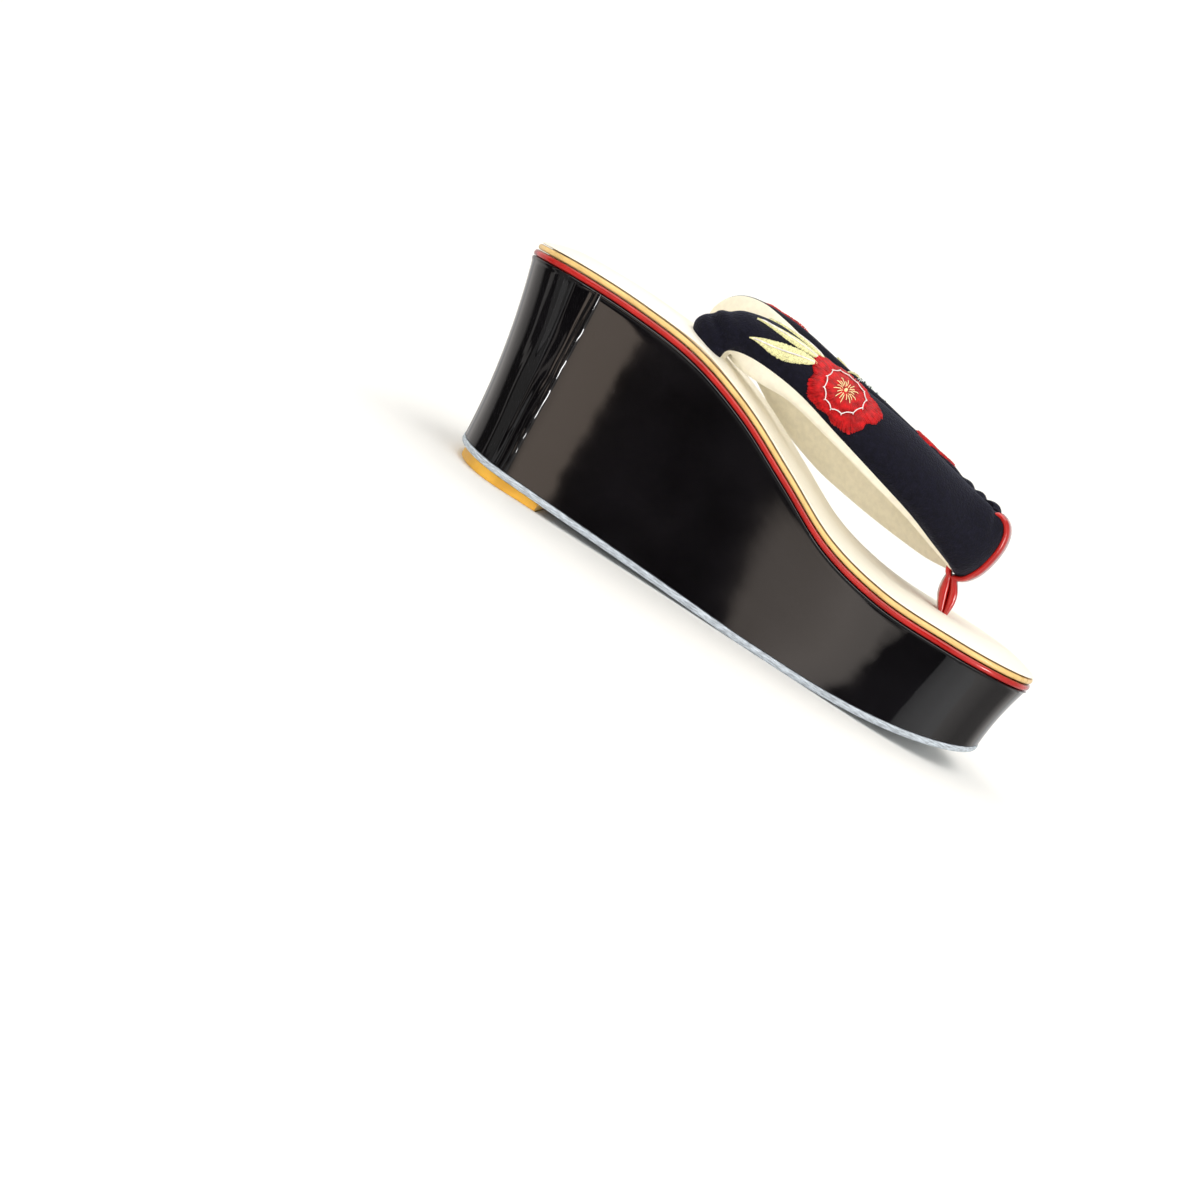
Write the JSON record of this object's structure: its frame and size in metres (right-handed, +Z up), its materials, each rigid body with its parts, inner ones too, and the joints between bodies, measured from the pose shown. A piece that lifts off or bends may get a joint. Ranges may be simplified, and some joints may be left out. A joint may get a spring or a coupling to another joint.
{
  "type": "zori sandal",
  "caption": "Tall wedge zori for the left foot: padded thong strap held by a front loop, piped rim, cream footbed, patent platform.",
  "frame": {"origin": "on the floor under the middle of the sandal's box", "axes": "+X from heel to toe, +Y to the wearer's left, +Z up from the floor"},
  "size_m": [0.239, 0.0886, 0.1064],
  "materials": {
    "lift_rubber": "satin",
    "split_leather": "matte",
    "black_patent": "gloss",
    "red_patent": "gloss",
    "gold_patent": "satin",
    "cream_footbed": "satin",
    "black_crepe": "matte"
  },
  "bodies": {
    "root": {"heel_lift": "lift_rubber", "outsole": "split_leather", "platform": "black_patent", "red_piping": "red_patent", "gold_piping": "gold_patent", "insole": "cream_footbed", "strap": "black_crepe", "front_loop": "red_patent"}
  },
  "joints": []
}
